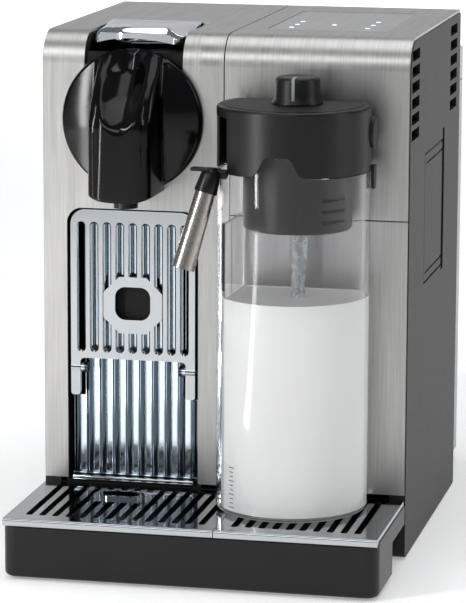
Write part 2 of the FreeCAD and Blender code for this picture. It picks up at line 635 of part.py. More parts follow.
def make_lid_body():
    wall = 2.6
    outer = d_prism(JUG_X, JUG_Y, LID_R, JUG_BACK, LID_Z0, LID_Z1)
    outer = soften(outer, 1.5, lambda e: min(v.Point.z for v in e.Vertexes) > LID_Z1 - 0.1)
    room = d_prism(JUG_X, JUG_Y, LID_R - wall, JUG_BACK - wall, LID_Z0 - 1, LID_Z1 - 3.5)
    lid = outer.cut(room)
    lid = lid.cut(d_prism(JUG_X, JUG_Y, 35.4, -90.6, LID_Z1 - 1.4, LID_Z1 + 1))
    lid = lid.cut(wave(0.5))
    notch = [(-5, -137), (13, -137), (13, -99), (-5, -99)]
    lid = lid.cut(prism("z", notch, LID_Z0 - 1, 236, [0, 5, 5, 0]))
    recess = box(13, 14.8, -131, -97, LID_Z0, LID_Z1 - 3.5)
    lid = fuse([lid, recess.common(d_prism(JUG_X, JUG_Y, LID_R - 0.5, JUG_BACK, LID_Z0, LID_Z1))])
    lid = lid.cut(rod("x", BUTTON_Y, BUTTON_Z, 74, 90, BUTTON_R + GAP))
    lid = lid.cut(rod("z", KNOB_X, KNOB_Y, 230, 245, 3.3))
    lid = lid.cut(rod("y", JUG_X, 225, JUG_BACK - 4, JUG_BACK + 1, 5))
    return lid.cut(make_lid_latch()).cut(make_spout_arm())


def make_lid_top_disc():
    disc = d_prism(JUG_X, JUG_Y, 35.2, -90.8, LID_Z1 - 1.4, LID_Z1 + 0.2)
    return disc.cut(rod("z", KNOB_X, KNOB_Y, 230, 245, 3.3))


def make_froth_housing():
    """Steam and milk mixing chamber under the lid, closed below, with slots for air on its right."""
    x, y = 44.5, -112.0
    shell = d_prism(x, y, 27.5, -92, 179, LID_Z1 - 3.6)
    shell = soften(shell, 1.5, lambda e: max(v.Point.z for v in e.Vertexes) < 179.1)
    shell = shell.cut(d_prism(x, y, 25.5, -94, 181, LID_Z1))
    for z in (184.0, 189.5, 195.0):
        shell = shell.cut(box(x + 14, x + 30, y - 22, y - 10, z, z + 1.8))
    return shell.cut(rod("z", 45, -112, 178, 182, 2.2))


def make_suction_tube():
    upper = rod("z", 45, -112, 162, 178.9, 4.6)
    lower = rod("z", 45, -112, 42, 162, 3.6)
    return upper.fuse(lower).removeSplitter().cut(rod("z", 45, -112, 40, 180, 2.2))


def make_spout_arm():
    """Bracket on the lid's left side with the pin that the milk spout turns on."""
    bridge = box(1.2, 13, ARM_Y, -121, 208.8, 214)
    drop = box(1.2, 8.6, ARM_Y, ARM_Y + 3.5, 202, 209.5)
    pin = rod("y", SPOUT_TOP.x, SPOUT_TOP.z, ARM_Y - 5, ARM_Y, SPOUT_PIN_R)
    return fuse([bridge, drop, pin])


def spout_way():
    return (SPOUT_TIP - SPOUT_TOP).normalize()


def make_spout_tube():
    way = spout_way()
    start = SPOUT_TOP + way * 7.0
    length = (SPOUT_TIP - start).Length
    outer = Part.makeCone(5.0, 6.0, length, start, way)
    inner = Part.makeCone(4.2, 5.2, length + 0.02, start - way * 0.01, way)
    return outer.cut(inner)


def make_spout_head():
    way = spout_way()
    face = ARM_Y - GAP
    drum = rod("y", SPOUT_TOP.x, SPOUT_TOP.z, face - 8.2, face, DRUM_R)
    neck = Part.makeCone(4.6, 5.2, 9.0, SPOUT_TOP, way)
    tab = prism("y", rectangle(SPOUT_TOP.x - 8.5, SPOUT_TOP.x + 1, 210.6, 212.0), -142.6, -136.2, 0.6)
    head = fuse([drum, neck, tab]).cut(box(-20, 20, face, face + 9, 180, 220))
    head = head.cut(rod("y", SPOUT_TOP.x, SPOUT_TOP.z, face - 5, face + 1, SPOUT_PIN_R + RUNNING))
    head = head.cut(Part.makeCone(5.0, 6.0, 40, SPOUT_TOP + way * 7.0, way))
    return head.cut(Part.makeCylinder(3.0, 4.0, SPOUT_TOP + way * 5.2, way))


def make_inlet_seal():
    return tube("y", JUG_X, 225, JUG_BACK, FRONT_Y - GAP, 9, 5)


def make_lid_latch():
    """Small spring tongue that hangs from the lid outside the jug's wall."""
    y0, y1 = BUTTON_Y - 3.5, BUTTON_Y + 3.5
    tongue = prism("x", rectangle(y0, y1, 198.6, 210.2), 80.5, 82.2, [1.5, 1.5, 0, 0])
    root = box(78.4, 82.2, y0, y1, 208.4, 210.2)
    return fuse([tongue, root])


def make_froth_knob():
    profile = [(0, 241.6), (13, 241.6), (12.7, 242.6), (12.0, 244.2), (11.6, 247), (11.4, 253.6),
               (10.8, 254.7), (9.8, 255), (0, 255)]
    knob = revolve([Vector(KNOB_X + r, KNOB_Y, z) for r, z in profile],
                   Vector(KNOB_X, KNOB_Y, 0), Vector(0, 0, 1))
    return knob.fuse(rod("z", KNOB_X, KNOB_Y, 232, 242, 3.25)).removeSplitter()


def make_release_button():
    cap = rod("x", BUTTON_Y, BUTTON_Z, 77.0, 82.4, BUTTON_R)
    return soften(cap, 0.8, lambda e: min(v.Point.x for v in e.Vertexes) > 82.3)


# ---------------------------------------------------------------- water tank
def make_water_tank():
    radii = [4, 4, 20, 20]
    outer = prism("z", rectangle(-TANK_HALF, TANK_HALF, BACK_Y + 0.6, TANK_BACK_Y), TANK_Z0, TANK_Z1, radii)
    inner_r = [2, 2, 17.5, 17.5]
    room = rectangle(-TANK_HALF + WALL, TANK_HALF - WALL, BACK_Y + 0.6 + WALL, TANK_BACK_Y - WALL)
    tank = outer.cut(prism("z", room, TANK_Z0 + WALL, TANK_Z1 + 1, inner_r))
    knuckles = []
    for x in (-50, 50):
        knuckles.append(rod("x", TANK_PIN_Y, TANK_PIN_Z, x - 5, x + 5, 2.8))
        knuckles.append(box(x - 5, x + 5, TANK_PIN_Y - 1, TANK_PIN_Y + 2.8, TANK_Z1 - 4, TANK_PIN_Z))
    tank = fuse([tank] + knuckles)
    tank = tank.cut(rod("x", TANK_PIN_Y, TANK_PIN_Z, -60, 60, 1.5))
    return tank.cut(rod("z", 0, VALVE_Y, TANK_Z0 - 1, TANK_Z0 + WALL + 1, 6))


def make_tank_hinge_pin():
    pins = [rod("x", TANK_PIN_Y, TANK_PIN_Z, x - 11, x + 11, 1.5) for x in (-50, 50)]
    return Part.makeCompound(pins)


def make_tank_lid():
    y0 = BACK_Y + 0.8
    profile = [(y0, TANK_LID_Z0), (y0, TANK_LID_Z1), (TANK_BACK_Y, TANK_LID_Z1 - 6), (TANK_BACK_Y, TANK_LID_Z0)]
    shell = prism("x", profile, -TANK_HALF, TANK_HALF, [0.5, 6, 14, 3.1])
    plan = rectangle(-TANK_HALF, TANK_HALF, y0, TANK_BACK_Y)
    shell = shell.common(prism("z", plan, TANK_LID_Z0 - 1, TANK_LID_Z1 + 1, [4, 4, 20, 20]))
    hollow = [(y0 + WALL, TANK_LID_Z0 - 1), (y0 + WALL, TANK_LID_Z1 - WALL),
              (TANK_BACK_Y - WALL - 6, TANK_LID_Z1 - 6 - WALL), (TANK_BACK_Y - WALL - 6, TANK_LID_Z0 - 1)]
    inner = prism("x", hollow, -TANK_HALF + WALL, TANK_HALF - WALL, [0, 4, 8, 0])
    plan_in = rectangle(-TANK_HALF + WALL, TANK_HALF - WALL, y0 + WALL, TANK_BACK_Y - WALL)
    shell = shell.cut(inner.common(prism("z", plan_in, TANK_LID_Z0 - 2, TANK_LID_Z1, [2, 2, 17.5, 17.5])))
    for x in (-50, 50):
        shell = shell.cut(rod("x", TANK_PIN_Y, TANK_PIN_Z, x - 5.3, x + 5.3, 3.3))
        shell = shell.cut(box(x - 5.3, x + 5.3, TANK_PIN_Y - 3.3, TANK_BACK_Y + 1, TANK_LID_Z0 - 1, TANK_PIN_Z))
        shell = shell.cut(box(x - 5.3, x + 5.3, TANK_PIN_Y, TANK_BACK_Y + 1, TANK_LID_Z0 - 1, TANK_PIN_Z + 4.5))
    return shell.cut(rod("x", TANK_PIN_Y, TANK_PIN_Z, -61.5, 61.5, 1.5 + RUNNING))


def make_tank_valve():
    stem = rod("z", 0, VALVE_Y, 7.6, 14, 5.8)
    collar = rod("z", 0, VALVE_Y, TANK_Z0 + WALL, 14, 9)
    return stem.fuse(collar).removeSplitter().cut(rod("z", 0, VALVE_Y, 7, 15, 2.5))


def make_tank_dock():
    """Water seat in the base under the tank, with the stub that feeds the hose."""
    cup = rod("z", 0, VALVE_Y, 3.6, 7.0, DOCK_R)
    return cup.cut(rod("z", 0, VALVE_Y, 5.0, 7.1, 8))


def make_dock_seal():
    return tube("z", 0, VALVE_Y, 5.0, 7.0, 8, 4)


# ---------------------------------------------------------------- works inside
def make_flow_meter():
    body = rod("z", -55, 62, 6.5, 28, 15)
    return body.fuse(box(-60, -50, 44, 50, 6.5, 20)).removeSplitter()


def make_water_pump():
    body = rod("x", 56, 44, 6, 44, 17)
    coil = box(12, 38, 37, 75, 25, 63)
    ends = [rod("x", 56, 44, -8, 6, 6), rod("x", 56, 44, 44, 66, 8)]
    return fuse([body, coil] + ends)


def make_pump_mounts():
    return Part.makeCompound([box(x, x + 10, 42, 70, 6.5, 25) for x in (13, 27)])


def make_thermoblock():
    block = prism("x", rectangle(-40, 12, 176, 226), 6, 66, 8.0)
    stubs = [rod("x", -15, 200, 0, 6, 4), rod("y", JUG_X, 216, -46, -40, 4), rod("z", 56, 0, 170, 176.5, 4)]
    return fuse([block] + stubs)


def make_power_board():
    board = box(86, 87.6, -60, 60, 20, 120)
    parts = [box(70, 86, -40, -12, 40, 70), box(76, 86, 0, 24, 30, 52), rod("x", 40, 90, 66, 86, 7)]
    return fuse([board] + parts)


def make_control_board():
    board = box(16, 75, -40, 54, 258, 259.6)
    posts = [rod("z", x, y, 259.6, INSIDE_Z - 0.5, 2.5) for x in (19, 72) for y in (-37, 51)]
    return fuse([board] + posts)


def make_suction_hose():
    return hose([(0, 87.9, 16), (0, 62, 16), (-39.9, 62, 16)], 3.5, 12)


def make_feed_hose():
    return hose([(-55, 62, 28), (-55, 62, 44), (-34, 56, 44), (-8, 56, 44)], 3.5, 8)


def make_pressure_hose():
    return hose([(66, 56, 44), (74, 56, 44), (74, 56, 150), (56, 0, 150), (56, 0, 170)], 2.5, 7)


def make_coffee_hose():
    return hose([(0, -15, 200), (-12, -15, 200), (-12, -61, 225), (-29.2, -61, 225)], 2.5, 5)


def make_steam_pipe():
    return hose([(JUG_X, -46, 216), (JUG_X, -52, 216), (JUG_X, -60, 225), (JUG_X, -66, 225)], 2.5, 4)


def make_steam_connector():
    """Steam outlet behind the lid's inlet, flush with the front panel."""
    stub = rod("y", JUG_X, 225, FRONT_Y, -66, 8.8)
    collar = rod("y", JUG_X, 225, INSIDE_Y + 0.1, -76, 13)
    return stub.fuse(collar).removeSplitter().cut(rod("y", JUG_X, 225, FRONT_Y - 1, -70, 3))


# ---------------------------------------------------------------- accessory door
def make_accessory_door():
    points = rectangle(DOOR_Y0, DOOR_Y1, DOOR_Z0, DOOR_Z1)
    door = prism("x", points, HALF - DOOR_T, HALF, 0.8)
    door = soften(door, DOOR_T / 2 - 0.05, lambda e: upright(e) and e.Vertexes[0].Point.y < DOOR_Y0 + 0.1
                  and abs(e.Vertexes[0].Point.z - e.Vertexes[-1].Point.z) > 30)
    for z in (DOOR_Z0 + 4.5, DOOR_Z1 - 5.7):
        door = door.cut(box(HALF - 0.6, HALF + 1, DOOR_Y0 + 4, DOOR_Y1 - 1, z, z + 1.2))
    for z0, z1 in door_pin_spans():
        door = door.cut(rod("z", HALF - 1.1, DOOR_Y0 + 1.1, z0 - 0.2, z1 + 0.2, DOOR_PIN_R + RUNNING))
    return door


BUILDERS = {
    "base_plate": make_base_plate,
    "rubber_feet": make_rubber_feet,
    "front_sill": make_front_sill,
    "side_shell_left": lambda: make_side_shell(-1),
    "side_shell_right": lambda: make_side_shell(1),
    "rear_cover": make_rear_cover,
    "front_panel_left": make_front_panel_left,
    "front_panel_upper_right": make_front_panel_upper_right,
    "front_panel_lower_right": make_front_panel_lower_right,
    "touch_panel": make_touch_panel,
    "indicator_lamps": make_indicator_lamps,
    "accessory_pocket": make_accessory_pocket,
    "door_pins": make_door_pins,
    "cord_inlet": make_cord_inlet,
    "case_screws": make_case_screws,
    "head_shroud": make_head_shroud,
    "coffee_dome": make_coffee_dome,
    "coffee_nozzle": make_coffee_nozzle,
    "bay_liner": make_bay_liner,
    "brew_frame": make_brew_frame,
    "capsule_holder": make_capsule_holder,
    "lever_pin": make_lever_pin,
    "lever_handle": make_lever_handle,
    "brew_piston": make_brew_piston,
    "capsule_bin": make_capsule_bin,
    "bin_front": make_bin_front,
    "shelf_pins": make_shelf_pins,
    "cup_shelf": make_cup_shelf,
    "finger_cup": make_finger_cup,
    "drip_tray": make_drip_tray,
    "drip_grid_left": make_drip_grid_left,
    "drip_grid_right": make_drip_grid_right,
    "milk_jug": make_milk_jug,
    "lid_body": make_lid_body,
    "lid_top_disc": make_lid_top_disc,
    "froth_housing": make_froth_housing,
    "suction_tube": make_suction_tube,
    "spout_arm": make_spout_arm,
    "spout_head": make_spout_head,
    "spout_tube": make_spout_tube,
    "inlet_seal": make_inlet_seal,
    "lid_latch": make_lid_latch,
    "froth_knob": make_froth_knob,
    "release_button": make_release_button,
    "water_tank": make_water_tank,
    "tank_hinge_pin": make_tank_hinge_pin,
    "tank_lid": make_tank_lid,
    "tank_valve": make_tank_valve,
    "tank_dock": make_tank_dock,
    "dock_seal": make_dock_seal,
    "flow_meter": make_flow_meter,
    "water_pump": make_water_pump,
    "pump_mounts": make_pump_mounts,
    "thermoblock": make_thermoblock,
    "power_board": make_power_board,
    "control_board": make_control_board,
    "water_hoses": lambda: Part.makeCompound([make_suction_hose(), make_feed_hose(), make_pressure_hose()]),
    "coffee_hose": make_coffee_hose,
    "steam_line": lambda: fuse([make_steam_pipe(), make_steam_connector()]),
    "accessory_door": make_accessory_door,
}

os.makedirs("parts", exist_ok=True)
for name, build in BUILDERS.items():
    shape = build()
    shape.exportStep("parts/" + name + ".step")
    state = "" if shape.isValid() else "  NOT VALID"
    print(name, "solids", len(shape.Solids), "volume", round(shape.Volume / 1000, 2), "cm3" + state)
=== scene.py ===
# %% [markdown]
# # A pod coffee machine with a milk jug
# The imported CAD model is the fixed frame: every casing, pin, tray and tank already sits in its place.
# This lesson gives each of them a real finish, and models again the pieces whose looks a CAD solid can't
# carry: the polished pouring head, the chrome lever, the knob, parts of the jug's lid and the milk.

# %% Load the frame
import bpy
import bmesh
import math
from mathutils import Matrix, Vector


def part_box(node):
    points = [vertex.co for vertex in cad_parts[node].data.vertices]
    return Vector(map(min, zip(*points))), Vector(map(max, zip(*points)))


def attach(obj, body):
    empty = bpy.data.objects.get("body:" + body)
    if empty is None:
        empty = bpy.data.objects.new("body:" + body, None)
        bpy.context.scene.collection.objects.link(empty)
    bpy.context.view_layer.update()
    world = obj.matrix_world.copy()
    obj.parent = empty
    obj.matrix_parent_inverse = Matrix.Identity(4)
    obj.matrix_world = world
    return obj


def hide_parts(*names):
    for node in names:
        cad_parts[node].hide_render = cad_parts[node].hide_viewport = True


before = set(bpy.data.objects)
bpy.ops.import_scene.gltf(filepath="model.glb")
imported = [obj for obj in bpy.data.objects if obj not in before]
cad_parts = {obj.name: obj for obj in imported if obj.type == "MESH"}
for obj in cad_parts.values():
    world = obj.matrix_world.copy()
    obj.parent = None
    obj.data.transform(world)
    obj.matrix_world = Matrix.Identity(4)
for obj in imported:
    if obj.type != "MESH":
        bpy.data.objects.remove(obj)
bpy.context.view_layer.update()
MM = 0.001

# %% [markdown]
# ## Camera
# The machine is looked at from a little to its right and from above, with a long lens, so that upright
# edges stay nearly parallel. A long lens far away keeps the proportions of the front true.

# %% Camera at the viewing angle
CAMERA_AT = Vector((0.3535, -1.6793, 0.4410))
TURN, TILT, ROLL = 0.215, 0.186, -0.004
LENS, SENSOR = 190.8, 36.0

lens = bpy.data.cameras.new("camera")
lens.lens = LENS
lens.sensor_width = SENSOR
lens.clip_end = 20.0
camera = bpy.data.objects.new("camera", lens)
facing = Matrix.Rotation(TURN, 4, "Z") @ Matrix.Rotation(math.pi / 2 - TILT, 4, "X")
camera.matrix_world = Matrix.Translation(CAMERA_AT) @ facing @ Matrix.Rotation(-ROLL, 4, "Z")
bpy.context.scene.collection.objects.link(camera)
bpy.context.scene.camera = camera
print("camera", [round(v, 3) for v in camera.matrix_world.translation])

# %% [markdown]
# ## Stage and studio light
# Polished black and chrome show only what they mirror, so the lights are the real modelling tool here.
# A tall narrow softbox on the left draws the bright band down the pouring head. A strip lies on the floor,
# where whatever faces down and forward mirrors it. A wide softbox overhead fills the top panel, one on the
# right lights the casing's side, two light the backdrop, and the rest of the room is a quiet grey.

# %% Floor, backdrop and room
def stage_piece(name, corners, colour):
    """One flat pale face that belongs to the studio, not to the machine."""
    sheet = bmesh.new()
    sheet.faces.new([sheet.verts.new(corner) for corner in corners])
    mesh = bpy.data.meshes.new(name)
    sheet.to_mesh(mesh)
    sheet.free()
    piece = bpy.data.objects.new(name, mesh)
    bpy.context.scene.collection.objects.link(piece)
    mesh.materials.append(colour)


def linear(hexa):
    """sRGB hex such as 'b4b3b0' as the linear colour that shaders use."""
    parts = [int(hexa[i:i + 2], 16) / 255 for i in (0, 2, 4)]
    return [v / 12.92 if v <= 0.04045 else ((v + 0.055) / 1.055) ** 2.4 for v in parts] + [1.0]


def node(material, kind, inputs=None, **settings):
    """Adds one shader node; an input given as a socket is linked, any other is set."""
    made = material.node_tree.nodes.new("ShaderNode" + kind)
    for name, value in settings.items():
        setattr(made, name, value)
    for name, value in (inputs or {}).items():
        if isinstance(value, bpy.types.NodeSocket):
            material.node_tree.links.new(value, made.inputs[name])
        else:
            made.inputs[name].default_value = value
    return made


def finish(name, colour, roughness, **sockets):
    """A new material with its Principled shader; sockets are named with underscores."""
    material = bpy.data.materials.new(name)
    material.use_nodes = True
    shader = material.node_tree.nodes["Principled BSDF"]
    shader.inputs["Base Color"].default_value = linear(colour)
    shader.inputs["Roughness"].default_value = roughness
    for key, value in sockets.items():
        shader.inputs[key.replace("_", " ")].default_value = value
    return material, shader


paper_white, shader = finish("seamless studio paper, lit from below", "f6f6f6", 0.9, Emission_Strength=0.3)
shader.inputs["Emission Color"].default_value = linear("ffffff")
paper_grey, _ = finish("grey background paper", "9a9a9b", 0.9)
stage_piece("floor", [(-6, -6, 0), (6, -6, 0), (6, 6, 0), (-6, 6, 0)], paper_white)
stage_piece("backdrop", [(-6, 5.5, 0), (6, 5.5, 0), (6, 5.5, 7), (-6, 5.5, 7)], paper_grey)

world = bpy.data.worlds.new("quiet grey room")
world.use_nodes = True
world.node_tree.nodes["Background"].inputs["Color"].default_value = linear("b4b7bc")
world.node_tree.nodes["Background"].inputs["Strength"].default_value = 0.38
bpy.context.scene.world = world
# The plain view transform keeps white paper white.
bpy.context.scene.view_settings.view_transform = "Standard"

# %% Softboxes
def softbox(name, at, aim, width, height, power):
    """A rectangular lamp that faces the point it is aimed at."""
    lamp = bpy.data.lights.new(name, "AREA")
    lamp.shape = "RECTANGLE"
    lamp.size, lamp.size_y = width, height
    lamp.energy = power
    box_light = bpy.data.objects.new(name, lamp)
    way = Vector(aim) - Vector(at)
    box_light.matrix_world = Matrix.Translation(at) @ way.to_track_quat("-Z", "Y").to_matrix().to_4x4()
    box_light.visible_camera = False
    bpy.context.scene.collection.objects.link(box_light)
    return box_light


STRIP_FOOT, STRIP_TURN = (-0.47, -0.56, 0.012), math.radians(-39)
softbox("strip left", (-0.72, -0.86, 0.56), (0, -0.1, 0.4), 0.08, 1.1, 8)
floor_strip = softbox("strip on the floor", STRIP_FOOT, (-0.47, -0.56, 1.0), 0.07, 0.72, 1.6)
lying = Matrix.Rotation(STRIP_TURN, 4, "Z") @ Matrix.Rotation(math.pi, 4, "X")
floor_strip.matrix_world = Matrix.Translation(STRIP_FOOT) @ lying
softbox("overhead", (0.1, 0.15, 1.7), (0, 0, 0.2), 1.5, 1.5, 12)
softbox("right wall", (1.8, -0.2, 0.8), (0, 0, 0.15), 0.5, 1.5, 7)
softbox("front fill", (-0.3, -2.6, 1.9), (0, -0.1, 0.15), 1.6, 0.9, 13)
softbox("paper left", (-2.5, 3.0, 2.5), (0, 5.5, 1.5), 2.0, 2.0, 110)
softbox("paper right", (2.5, 3.0, 2.5), (0, 5.5, 1.5), 2.0, 2.0, 110)

# %% [markdown]
# ## Patterns
# Every pattern reads Object coordinates. Since no piece is moved or turned, those are metres in the
# machine's own frame, so a pattern's size can be given in real millimetres and drawn out along an axis:
# that is all that separates a brushed grain from a moulded texture.

# %% Noise, ramps and relief
def grain(material, width, drawn=(1.0, 1.0, 1.0), detail=2.0, turn=(0.0, 0.0, 0.0)):
    """Noise whose features are about width millimetres across, drawn out along each axis by its factor."""
    place = node(material, "TexCoord").outputs["Object"]
    scale = [1000.0 / (width * factor) for factor in drawn]
    laid = node(material, "Mapping", {"Vector": place, "Rotation": turn, "Scale": scale})
    noise = node(material, "TexNoise", {"Vector": laid.outputs["Vector"], "Scale": 1.0, "Detail": detail})
    return noise.outputs["Fac"]


def spread(material, value, low, high, start=0.3, end=0.7):
    """Maps a pattern's middle range onto low to high."""
    inputs = {"Value": value, "From Min": start, "From Max": end, "To Min": low, "To Max": high}
    return node(material, "MapRange", inputs).outputs["Result"]


def mixed(material, value, first, second):
    """A colour between two hex colours, by a pattern."""
    inputs = {"Factor": value, 6: linear(first), 7: linear(second)}
    return node(material, "Mix", inputs, data_type="RGBA").outputs[2]


def relief(material, shader, height, depth, strength=1.0):
    """Bumps of the given depth in millimetres."""
    bumps = node(material, "Bump", {"Height": height, "Distance": depth * MM, "Strength": strength})
    material.node_tree.links.new(bumps.outputs["Normal"], shader.inputs["Normal"])


def drive(material, shader, socket, value):
    """Lets a pattern set one of the shader's inputs."""
    material.node_tree.links.new(value, shader.inputs[socket])

# %% [markdown]
# ## Brushed aluminium
# The front and top are one bent sheet of anodised aluminium, belt-brushed before it was bent, so the grain
# runs up the front and back along the top. Real grain is about 0.1 mm wide; it is drawn at 0.45 mm here,
# because finer lines would vanish at this picture's size.

# %% Sheet aluminium
GRAIN_MM = 0.45
sheet_metal, shader = finish("belt-brushed anodised aluminium", "c4c3c1", 0.36, Metallic=1.0)
fine = grain(sheet_metal, GRAIN_MM, (1.0, 90.0, 90.0), 3.0)
broad = grain(sheet_metal, 5.0, (1.0, 12.0, 12.0), 2.0)
tone = mixed(sheet_metal, spread(sheet_metal, fine, 0.0, 1.0), "abaaa8", "bfbebc")
drive(sheet_metal, shader, "Base Color", tone)
drive(sheet_metal, shader, "Roughness", spread(sheet_metal, broad, 0.32, 0.42))
relief(sheet_metal, shader, fine, 0.007, 0.5)

touch_metal, shader = finish("brushed aluminium over touch keys", "c0c0bf", 0.34, Metallic=1.0)
fine = grain(touch_metal, GRAIN_MM, (1.0, 90.0, 90.0), 3.0)
tone = mixed(touch_metal, spread(touch_metal, fine, 0.0, 1.0), "b6b6b5", "cfcfce")
drive(touch_metal, shader, "Base Color", tone)
relief(touch_metal, shader, fine, 0.010, 0.5)

# %% [markdown]
# ## Chrome and steel
# Plated ABS is a mirror with a faintly wavy skin, because the plastic under it was moulded. The milk spout
# is a drawn steel tube whose grain runs along it.

# %% Chrome plate, spout steel and small steel
chrome, shader = finish("bright chrome plate on ABS", "dfe3e7", 0.06, Metallic=1.0)
wave_skin = grain(chrome, 9.0, (1.0, 1.0, 1.0), 1.0)
drive(chrome, shader, "Roughness", spread(chrome, grain(chrome, 3.0), 0.05, 0.09))
relief(chrome, shader, wave_skin, 0.02, 0.6)

# The bin front's flutes carry painted shade: their colour turns darker and bluer along their bottoms,
# because plain reflections leave them too even.
FLUTE_PITCH, BAY_MID = 7.04, -48.75
fluted_chrome, shader = finish("chrome plate over flutes, painted valley shade", "c9d4dc", 0.1, Metallic=1.0)
place = node(fluted_chrome, "TexCoord").outputs["Object"]
east = node(fluted_chrome, "SeparateXYZ", {"Vector": place}).outputs["X"]
one_flute = {"Value": east, "From Min": BAY_MID * MM, "From Max": (BAY_MID + FLUTE_PITCH) * MM}
one_flute.update({"To Min": 0.0, "To Max": math.tau})
turns = node(fluted_chrome, "MapRange", one_flute, clamp=False).outputs["Result"]
ribs = node(fluted_chrome, "Math", {0: turns}, operation="COSINE").outputs["Value"]
flute_shade_mask = spread(fluted_chrome, ribs, 0.0, 1.0, -0.5, 0.7)
# Painted shade: the colour runs from dark blue-grey in the flutes' valleys to bright chrome on their tops.
drive(fluted_chrome, shader, "Base Color", mixed(fluted_chrome, flute_shade_mask, "4d5860", "e3edf5"))
drive(fluted_chrome, shader, "Roughness", spread(fluted_chrome, grain(fluted_chrome, 3.0), 0.07, 0.14))

shelf_chrome, shader = finish("bright chrome plate, cup shelf", "b9bdc0", 0.09, Metallic=1.0)
drive(shelf_chrome, shader, "Roughness", spread(shelf_chrome, grain(shelf_chrome, 3.0), 0.07, 0.12))
relief(shelf_chrome, shader, grain(shelf_chrome, 9.0, detail=1.0), 0.02, 0.6)

SPOUT_LEAN = -0.26
spout_steel, shader = finish("drawn stainless steel tube", "b3aea6", 0.24, Metallic=1.0)
along = grain(spout_steel, 0.4, (1.0, 1.0, 60.0), 2.0, (0.0, SPOUT_LEAN, 0.0))
drive(spout_steel, shader, "Roughness", spread(spout_steel, along, 0.24, 0.30))
relief(spout_steel, shader, along, 0.0006, 0.3)

small_steel, shader = finish("zinc-plated steel", "9fa0a0", 0.35, Metallic=1.0)
drive(small_steel, shader, "Roughness", spread(small_steel, grain(small_steel, 1.2), 0.28, 0.45))

cast_metal, shader = finish("die-cast aluminium, as cast", "8f9092", 0.55, Metallic=1.0)
relief(cast_metal, shader, grain(cast_metal, 0.9, detail=4.0), 0.05)

# %% [markdown]
# ## Moulded plastics
# One polymer can look very different: the pouring head is polished ABS that mirrors the room, the lid has
# a satin spark-eroded skin, and the casing's sides have a coarser leathery one. Mostly roughness and relief
# change, and the colour a little. The refractive indices are below the usual 1.5 (the moulded plastics have
# 1.38, the polished black 1.35, the jug 1.33): they are matched to how soft the mirrored light looks.

# %% Black and charcoal plastics
MOULDED_IOR = 1.38


def moulded(name, dark, light, roughness, texture, depth):
    """Moulded plastic: slight cloudiness in the colour, and the tool's texture as relief."""
    material, part = finish(name, dark, roughness, IOR=MOULDED_IOR)
    skin = grain(material, texture, detail=3.0)
    cloud = grain(material, 40.0, detail=2.0)
    drive(material, part, "Base Color", mixed(material, spread(material, cloud, 0.0, 1.0), dark, light))
    drive(material, part, "Roughness", spread(material, skin, roughness * 0.88, roughness * 1.12))
    relief(material, part, skin, depth)
    return material


side_plastic = moulded("charcoal ABS, spark-eroded texture", "1b1b1d", "222224", 0.5, 0.6, 0.02)
base_plastic = moulded("black ABS, matt", "0b0b0b", "0f0f10", 0.5, 0.6, 0.02)
tray_plastic = moulded("black ABS, semi-gloss", "0c0c0c", "121212", 0.34, 0.8, 0.006)
lid_plastic = moulded("charcoal PP, satin", "0f0f10", "151516", 0.36, 0.5, 0.006)
disc_plastic = moulded("charcoal PP, grained top", "151516", "1c1c1d", 0.5, 0.8, 0.04)
works_plastic = moulded("natural nylon", "b8b6ac", "c6c4ba", 0.45, 1.0, 0.02)
rubber = moulded("black nitrile rubber", "121212", "191919", 0.7, 0.7, 0.03)
hose_rubber = moulded("translucent silicone hose", "c9c9c4", "d8d8d4", 0.4, 1.5, 0.01)
board = moulded("green solder resist on glass board", "0c4a26", "12592f", 0.3, 0.5, 0.01)

housing_black = moulded("black PP, smooth housing", "060607", "09090a", 0.4, 0.6, 0.0005)
recess_black = moulded("black ABS, unlit recess", "030303", "050505", 0.75, 0.6, 0.001)
knob_black = moulded("black PP, satin knob", "0b0b0c", "101011", 0.4, 0.5, 0.004)
joint_black = moulded("black glass-filled nylon joint", "0a0a0b", "0f0f10", 0.3, 0.5, 0.006)
pointer_grey = moulded("pale grey ABS insert", "8d9092", "999c9e", 0.3, 0.6, 0.004)
scale_grey = moulded("grey printed scale", "5a5f63", "666b6f", 0.5, 0.6, 0.003)

gloss_black, shader = finish("polished black ABS", "030304", 0.13, IOR=1.35)
drive(gloss_black, shader, "Roughness", spread(gloss_black, grain(gloss_black, 12.0), 0.11, 0.15))

# %% [markdown]
# ## Clear and milky things
# The jug is clear copolyester with real wall thickness, so light bends in it, though less than in the real
# plastic. The tank is smoked polycarbonate. The milk is a diffuse white with a small painted glow: its
# emission stands for the light that scatters inside it and for lamp light that the jug's clear wall holds
# back.

# %% Jug, tank, suction tube and milk
clear_plastic, shader = finish("clear copolyester", "fdfdfe", 0.015, IOR=1.33, Transmission_Weight=1.0)
drive(clear_plastic, shader, "Roughness", spread(clear_plastic, grain(clear_plastic, 20.0), 0.01, 0.03))

smoked, shader = finish("smoked polycarbonate", "4a4a4d", 0.08, IOR=1.58, Transmission_Weight=0.55)
drive(smoked, shader, "Roughness", spread(smoked, grain(smoked, 15.0), 0.06, 0.12))

milky, shader = finish("milky polypropylene tube", "e9edef", 0.28, IOR=1.49, Transmission_Weight=0.7)
drive(milky, shader, "Roughness", spread(milky, grain(milky, 4.0), 0.2, 0.35))

# Painted light: the milk glows by emission, though it is no lamp.
milk_white, shader = finish("whole milk", "f3f3f2", 0.22, IOR=1.35, Emission_Strength=0.1)
shader.inputs["Emission Color"].default_value = linear("fbfbf8")
drive(milk_white, shader, "Base Color", mixed(milk_white, grain(milk_white, 30.0), "f0f0ef", "f7f7f6"))

lamp_glow, shader = finish("lit key symbol", "dfe9ff", 0.4, Emission_Strength=1.6)
shader.inputs["Emission Color"].default_value = linear("cfe0ff")
drive(lamp_glow, shader, "Roughness", spread(lamp_glow, grain(lamp_glow, 2.0), 0.3, 0.5))
print("materials", len(bpy.data.materials))

# %% [markdown]
# ## Dressing the CAD nodes
# A node's mesh is never touched; only its material slot is filled.

